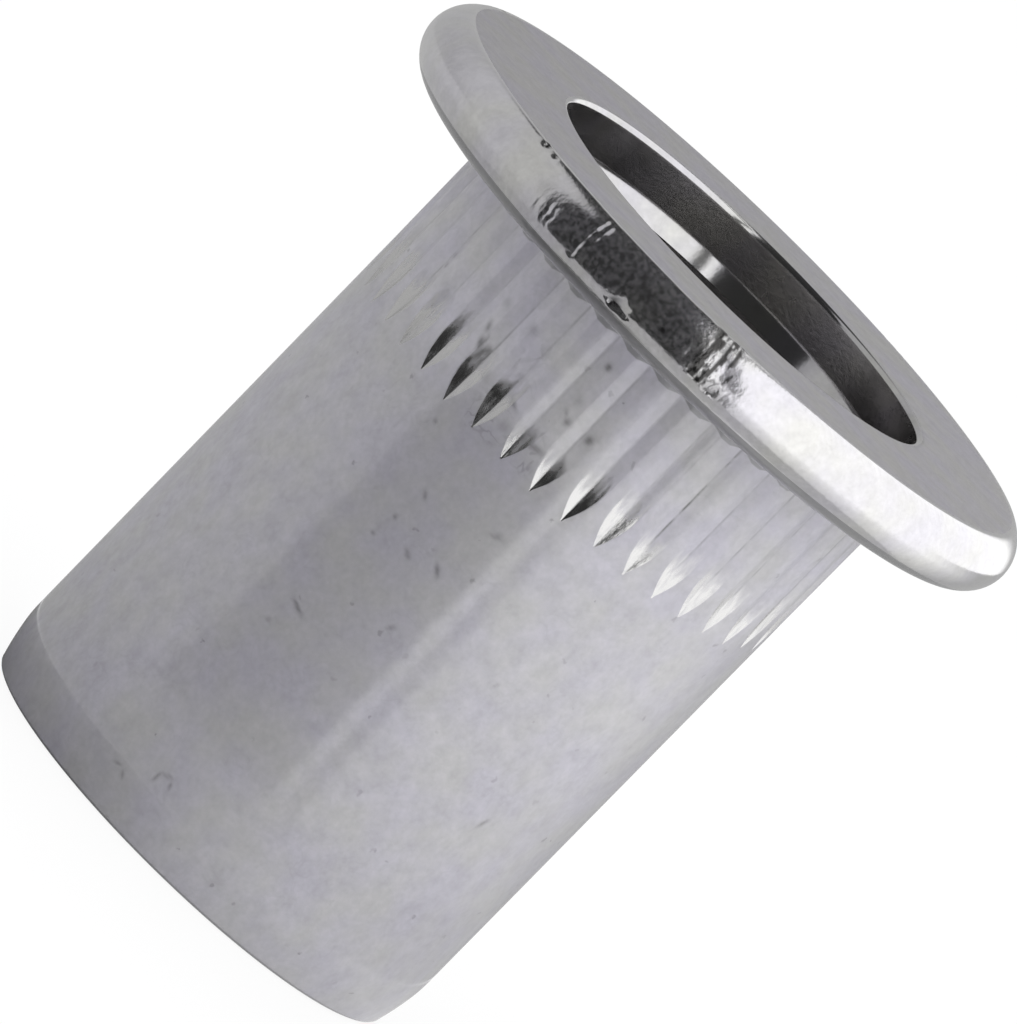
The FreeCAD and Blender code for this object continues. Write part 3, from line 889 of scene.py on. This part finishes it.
def make_plating(name, base, metallic, roughness, coat, grain, grain_height, haze=0.0,
                 used=False):
    """Plated metal with fine mottling in colour, roughness and relief. haze is how unevenly
    dull a mirror-like one is. A used one also has the wear of the shank."""
    tree = new_tree(name)
    position = tree.add("ShaderNodeTexCoord").outputs["Object"]
    cloud = tree.noise(position, 2600, 4)
    fleck = tree.noise(position, 8200, 2)
    hue = tree.span(tree.noise(position, 800, 2), 0.35, 0.65)
    warm, cool = (tuple(c * f for c, f in zip(base, tones)) for tones in (WARM, COOL))
    colour = tree.blend(hue, warm, cool)
    colour = tree.tint(colour, tree.span(cloud, 0.3, 0.7, 0.93, 1.05))
    colour = tree.tint(colour, tree.span(fleck, 0.3, 0.7, 0.955, 1.04))
    metal = metallic
    if haze:
        dull = tree.noise(position, 9500, 5, 0.3)
        metal = tree.span(dull, 0.40, 0.66, metallic, metallic - haze)
    look = {
        "colour": colour,
        "metal": metal,
        "rough": tree.span(cloud, 0.3, 0.7, roughness * 1.1, roughness * 0.9),
        "coat": coat,
        "normal": tree.bump(tree.noise(position, grain, 3), grain_height),
    }
    mark = tree.attribute("mark")
    if used:
        wear_shank(tree, position, cloud, mark, look)
    else:
        # The rim's marks are painted dark, a painted dark reflection, and lose their coat.
        look["colour"] = tree.blend(tree.times(mark, 0.92), colour, MARK_COLOUR)
        if coat:
            look["coat"] = tree.fade(mark, coat, 0.0)
    # Painted shade under the head, and painted dark reflection on the rim's lower edge and the
    # end's edge: darker and duller there.
    band = tree.ease(tree.attribute("painted_shade"), -0.014, 0.014)
    look["colour"] = tree.blend(tree.times(band, 0.8), look["colour"], PAINTED_SHADE_COLOUR)
    look["rough"] = tree.fade(band, look["rough"], 0.5)
    tree.surface(tree.add(
        "ShaderNodeBsdfPrincipled", Base_Color=look["colour"], Metallic=look["metal"],
        Roughness=look["rough"], Coat_Weight=look["coat"], Coat_Roughness=0.1, Coat_IOR=1.8,
        Normal=look["normal"]))
    return tree.owner


# Name, colour, how metallic, roughness, coat, how fine the grain is and how high it is in
# millimetres, in the order of the numbers that the skin gives to its strips
PLATINGS = (
    make_plating("satin_plating", (0.452, 0.446, 0.479), 0.5, 0.55, 1.0, 9000, 0.004,
                 used=True),
    make_plating("bright_rim", (0.72, 0.712, 0.728), 1.0, 0.14, 1.0, 11000, 0.003, 0.065),
    make_plating("matte_face", (0.48, 0.473, 0.494), 1.0, 0.5, 0.0, 9000, 0.006),
    make_plating("bore_wall", (0.39, 0.38, 0.382), 1.0, 0.25, 0.5, 9000, 0.003),
    make_plating("thread_cut", (0.5, 0.49, 0.5), 1.0, 0.3, 0.5, 9000, 0.003),
    make_plating("mouth_edge", (0.58, 0.575, 0.585), 1.0, 0.12, 0.5, 9000, 0.001),
)

piece = make_nut()
for plating in PLATINGS:
    piece.data.materials.append(plating)
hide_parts("rivet_nut")
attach(piece, "root")


# ---------------------------------------------------------------------------------------
# Stage: floor, cards, world
# ---------------------------------------------------------------------------------------
FLOOR_HALF = 700
FLOOR_LEVEL = -0.02
CARD_NEAR = 0.01        # level of the card below the nut's end face
CARD_WIDE = 0.06        # and of those around it
CARD_STEPS = 96
TENT_R = 150.0
TENT_WALL = 120.0
TENT_TOP = 260.0
FULL = 1.6              # the brightest that a card can be, where 1 is white
BACK_LEVEL = 0.43
# Brightness across the tent: the dark part ends at -1 on the left, and the white begins at 1
TENT_LEVELS = (
    (-1.35, 0.53), (-1.02, 0.44), (-0.98, 0.035), (0.36, 0.035), (0.42, 1.35),
    (0.62, 1.35), (0.68, 0.10), (0.88, 0.10), (1.0, 1.25),
)
TENT_SPAN = 1.5         # how far the levels reach to either side
# Its two edges: how far out they stand in front, how they lean there, how far out they are
# overhead, and how rounded the turn between the two is
LEFT_EDGE = (1.32, 0.4, 0.45, 0.8)
RIGHT_EDGE = (0.445, 0.0, 0.17, 0.2)
# Brightness of the cards on the floor, round the nut from the camera's side in degrees. On
# the wide one it changes between these two distances from the inner level to the outer one.
WIDE_REACH = (18, 55)
INNER_LEVELS = (
    (-180, 0.4), (-100, 0.43), (-54, 0.45), (-52, 0.035), (9, 0.035), (10.5, 0.6),
    (15.5, 0.6), (17, 0.1), (21.5, 0.1), (24, 0.72), (105, 0.72), (142, 0.4), (180, 0.4),
)
OUTER_LEVELS = (
    (-180, 0.43), (-100, 0.54), (-54, 0.54), (-52, 0.035), (9, 0.035), (10.5, 1.35),
    (15.5, 1.35), (17, 0.5), (21.5, 0.5), (24, 1.25), (105, 1.25), (142, 0.43), (180, 0.43),
)
FAR_LEVELS = ((-180, 0.4), (-90, 0.38), (-30, 0.4), (90, 0.5), (180, 0.4))
NEAR_LEVELS = (
    (-180, 0.3), (-75, 0.08), (-30, 0.12), (0, 0.45), (75, 0.75), (180, 0.3),
)


def make_stage(name, points, faces, material):
    mesh = bpy.data.meshes.new(name)
    mesh.from_pydata([tuple(np.array(p) * MM) for p in points], [], faces)
    mesh.materials.append(material)
    staged = bpy.data.objects.new(name, mesh)
    bpy.context.scene.collection.objects.link(staged)
    return staged


def ramp(tree, place, stops):
    """A colour ramp over places from 0 to 1, with levels where 1 is white."""
    node = tree.add("ShaderNodeValToRGB", Fac=place)
    elements = node.color_ramp.elements
    while len(elements) < len(stops):
        elements.new(0.5)
    for element, (stop, level) in zip(elements, stops):
        element.position = stop
    for element, (stop, level) in zip(elements, stops):
        element.color = (level / FULL,) * 3 + (1,)
    return node.outputs["Color"]


def round_ramp(tree, angle, levels):
    """Levels round the nut, from places in degrees."""
    place = tree.span(angle, -math.pi, math.pi)
    return ramp(tree, place, [((a + 180) / 360, level) for a, level in levels])


def glow(tree, colour):
    tree.surface(tree.add("ShaderNodeEmission", Color=colour, Strength=FULL))
    return tree.owner


def floor_light(name, levels, outer=None):
    """Light whose level changes round the nut, and outwards to a second set of levels."""
    tree = new_tree(name)
    x, y, z = tree.split(tree.add("ShaderNodeNewGeometry").outputs["Position"])
    angle = tree.turn(x, y)
    colour = round_ramp(tree, angle, levels)
    if outer:
        reach = tree.math("SQRT", tree.math("ADD", tree.times(x, x), tree.times(y, y)))
        share = tree.span(reach, *(r * MM for r in WIDE_REACH))
        colour = tree.blend(share, colour, round_ramp(tree, angle, outer))
    return glow(tree, colour)


def tent_edge(tree, y, z, front, lean, overhead, rounding):
    """How far out an edge of the dark part stands in the direction (x, y, z)."""
    ahead = tree.times(y, tree.math("MULTIPLY_ADD", z, -lean, -front))
    above = tree.math("MAXIMUM", tree.times(z, overhead), 0.02)
    return tree.math("SMOOTH_MAX", ahead, above, rounding)


def tent_light(name):
    """Light whose level depends on the direction from the nut's head. The edges of the dark
    part stand upright in front and run to the back overhead. The back is an even grey, which
    on the right starts further round."""
    tree = new_tree(name)
    place = tree.add("ShaderNodeNewGeometry").outputs["Position"]
    aim = tree.vector_math("SUBTRACT", place, (0, 0, SEAT * MM))
    x, y, z = tree.split(tree.vector_math("NORMALIZE", aim))
    to_left, to_right = tree.math("MINIMUM", x, 0.0), tree.math("MAXIMUM", x, 0.0)
    left = tree.math("DIVIDE", to_left, tent_edge(tree, y, z, *LEFT_EDGE))
    right = tree.math("DIVIDE", to_right, tent_edge(tree, y, z, *RIGHT_EDGE))
    across = tree.span(tree.math("ADD", left, right), -TENT_SPAN, TENT_SPAN)
    stops = [((q + TENT_SPAN) / (2 * TENT_SPAN), level) for q, level in TENT_LEVELS]
    colour = ramp(tree, across, stops)
    from_back = tree.math("MULTIPLY_ADD", z, -0.8, y)
    from_back = tree.math("MULTIPLY_ADD", to_right, -2.0, from_back)
    behind = tree.ease(from_back, 0.05, 0.5)
    return glow(tree, tree.blend(behind, colour, (BACK_LEVEL / FULL,) * 3))


def make_card(name, rows, material):
    """A card turned round the nut through (radius, height) rows. It is seen in reflections
    only, and lets the lamps through."""
    points, faces = [], []
    for r, z in rows:
        for i in range(CARD_STEPS):
            a = TAU * i / CARD_STEPS
            points.append((r * math.sin(a), -r * math.cos(a), z))
    for k in range(len(rows) - 1):
        low, high = k * CARD_STEPS, (k + 1) * CARD_STEPS
        for i in range(CARD_STEPS):
            j = (i + 1) % CARD_STEPS
            faces.append((low + i, low + j, high + j, high + i))
    card = make_stage(name, points, faces, material)
    card.visible_camera = False
    card.visible_shadow = False
    card.visible_diffuse = False


def make_tent():
    """A light tent: dark ahead and overhead, grey left and behind, white right."""
    dome = [(TENT_R, CARD_WIDE), (TENT_R, TENT_WALL)]
    for i in range(1, 10):
        a = math.radians(10 * i)
        z = TENT_WALL + (TENT_TOP - TENT_WALL) * math.sin(a)
        dome.append((TENT_R * math.cos(a) + 0.01, z))
    make_card("tent", dome, tent_light("tent"))
    for name, start, end, level, light in (
        ("base_near", 4.9, 9.5, CARD_NEAR, (NEAR_LEVELS,)),
        ("base_far", 9.5, 19.5, CARD_WIDE, (FAR_LEVELS,)),
        ("base_wide", 19.5, TENT_R, CARD_WIDE, (INNER_LEVELS, OUTER_LEVELS)),
    ):
        make_card(name, [(start, level), (end, level)], floor_light(name, *light))


def make_floor():
    """A plain pale floor that shows white to the camera and in the metal, with the nut's
    shadow kept."""
    tree = new_tree("floor")
    plain = tree.add("ShaderNodeBsdfDiffuse", Color=(0.95, 0.95, 0.95, 1))
    white = tree.add("ShaderNodeEmission", Strength=1.0)
    tree.surface(tree.mix_shaders(tree.times(tree.seen_rays(), 0.9), plain, white))
    corners = [(x * FLOOR_HALF, y * FLOOR_HALF, FLOOR_LEVEL)
               for x, y in ((-1, -1), (1, -1), (1, 1), (-1, 1))]
    make_stage("floor", corners, [(0, 1, 2, 3)], tree.owner)


def make_world():
    """Even light from all round, with a pale background behind the floor."""
    tree = Tree(bpy.data.worlds.new("studio"))
    bpy.context.scene.world = tree.owner
    ambient = tree.add("ShaderNodeBackground", Color=(0.85, 0.85, 0.86, 1))
    pale = tree.add("ShaderNodeBackground", Color=(0.8, 0.8, 0.8, 1))
    tree.surface(tree.mix_shaders(tree.seen_rays(), ambient, pale), "ShaderNodeOutputWorld")


def area_light(name, place, target, size, level):
    """A soft box whose face shines at the given level, where 1 is white."""
    data = bpy.data.lights.new(name, "AREA")
    data.shape = "RECTANGLE"
    data.size, data.size_y = size[0] * MM, size[1] * MM
    data.energy = level * math.pi * data.size * data.size_y
    lamp = bpy.data.objects.new(name, data)
    lamp.location = Vector(place) * MM
    direction = Vector(target) * MM - lamp.location
    lamp.rotation_mode = "QUATERNION"
    lamp.rotation_quaternion = direction.to_track_quat("-Z", "Y")
    lamp.visible_camera = False
    bpy.context.scene.collection.objects.link(lamp)


make_floor()
make_tent()
make_world()
area_light("softbox_right", (300, -180, 160), (0, 0, 9), (360, 520), 0.7)
area_light("softbox_top", (0, 40, 480), (0, 0, 9), (480, 480), 1.0)

# ---------------------------------------------------------------------------------------
# Camera: at the photograph's angle, rolled so that the nut leans as it does there
# ---------------------------------------------------------------------------------------
CAMERA_DISTANCE = 450.0     # from the middle of the top face
CAMERA_ELEVATION = 8.70
CAMERA_ROLL = 44.355
AIM_HEIGHT = 9.24
SENSOR_WIDTH = 36.0
FOCAL_LENGTH = 22608        # in pixels of an image that is this wide
IMAGE_WIDTH = 1017


def make_camera():
    data = bpy.data.cameras.new("camera")
    data.sensor_fit = "HORIZONTAL"
    data.sensor_width = SENSOR_WIDTH
    data.lens = SENSOR_WIDTH * FOCAL_LENGTH / IMAGE_WIDTH
    data.clip_start, data.clip_end = 0.05, 5.0
    camera = bpy.data.objects.new("camera", data)
    tilt = math.radians(CAMERA_ELEVATION)
    out_from_face = Vector((0, -math.cos(tilt), math.sin(tilt))) * CAMERA_DISTANCE
    camera.location = (Vector((0, 0, TOP)) + out_from_face) * MM
    ahead = Vector((0, 0, AIM_HEIGHT)) * MM - camera.location
    upright = ahead.to_track_quat("-Z", "Y").to_matrix()
    roll = Matrix.Rotation(math.radians(CAMERA_ROLL), 3, "Z")
    camera.rotation_mode = "QUATERNION"
    camera.rotation_quaternion = (upright @ roll).to_quaternion()
    bpy.context.scene.collection.objects.link(camera)
    bpy.context.scene.camera = camera


make_camera()
bpy.context.scene.view_settings.view_transform = "Standard"
